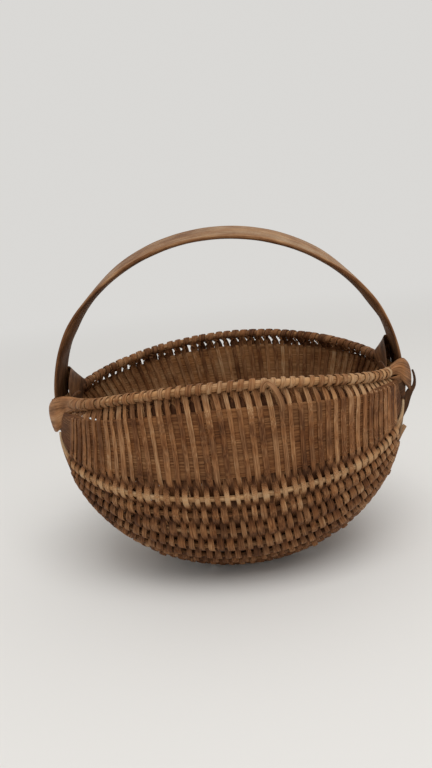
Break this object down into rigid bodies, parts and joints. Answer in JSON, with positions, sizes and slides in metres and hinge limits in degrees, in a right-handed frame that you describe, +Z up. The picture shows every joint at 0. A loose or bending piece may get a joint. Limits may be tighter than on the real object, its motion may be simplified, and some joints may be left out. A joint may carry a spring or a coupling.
{
  "type": "egg basket",
  "caption": "Ribbed split-oak egg basket with two lobes below, a fixed flat hoop handle, a round rim, folded lashings at the ears and a plain-woven wall.",
  "frame": {"origin": "middle of the bounding box's base, on the surface that the basket stands on", "axes": "+X from the left ear to the right ear, -Y towards the front, to which the handle leans, +Z up"},
  "size_m": [0.2898, 0.2486, 0.2778],
  "materials": {
    "hoop_oak": "aged split oak, shaved smooth, satin from handling",
    "rim_oak": "aged split oak rod, whittled round, satin",
    "rib_oak": "aged split oak rod, whittled round, matt",
    "wide_rib_oak": "aged split oak board, fine grain, matt",
    "lashing_oak": "aged thin oak splint, folded, satin",
    "weaver_oak": "aged narrow oak splints, plain weave, matt to satin"
  },
  "bodies": {
    "root": {"handle_hoop": "hoop_oak", "rim_hoop": "rim_oak", "ear_lashing_left": "lashing_oak", "ear_lashing_right": "lashing_oak", "wide_rib_front": "wide_rib_oak", "wide_rib_back": "wide_rib_oak", "rib_front_1": "rib_oak", "rib_front_2": "rib_oak", "rib_front_3": "rib_oak", "rib_front_4": "rib_oak", "rib_front_5": "rib_oak", "rib_front_6": "rib_oak", "rib_front_7": "rib_oak", "rib_front_8": "rib_oak", "rib_back_1": "rib_oak", "rib_back_2": "rib_oak", "rib_back_3": "rib_oak", "rib_back_4": "rib_oak", "rib_back_5": "rib_oak", "rib_back_6": "rib_oak", "rib_back_7": "rib_oak", "rib_back_8": "rib_oak", "weaver_1": "weaver_oak", "weaver_2": "weaver_oak", "weaver_3": "weaver_oak", "weaver_4": "weaver_oak", "weaver_5": "weaver_oak", "weaver_6": "weaver_oak", "weaver_7": "weaver_oak", "weaver_8": "weaver_oak", "weaver_9": "weaver_oak", "weaver_10": "weaver_oak", "weaver_11": "weaver_oak"}
  },
  "joints": []
}
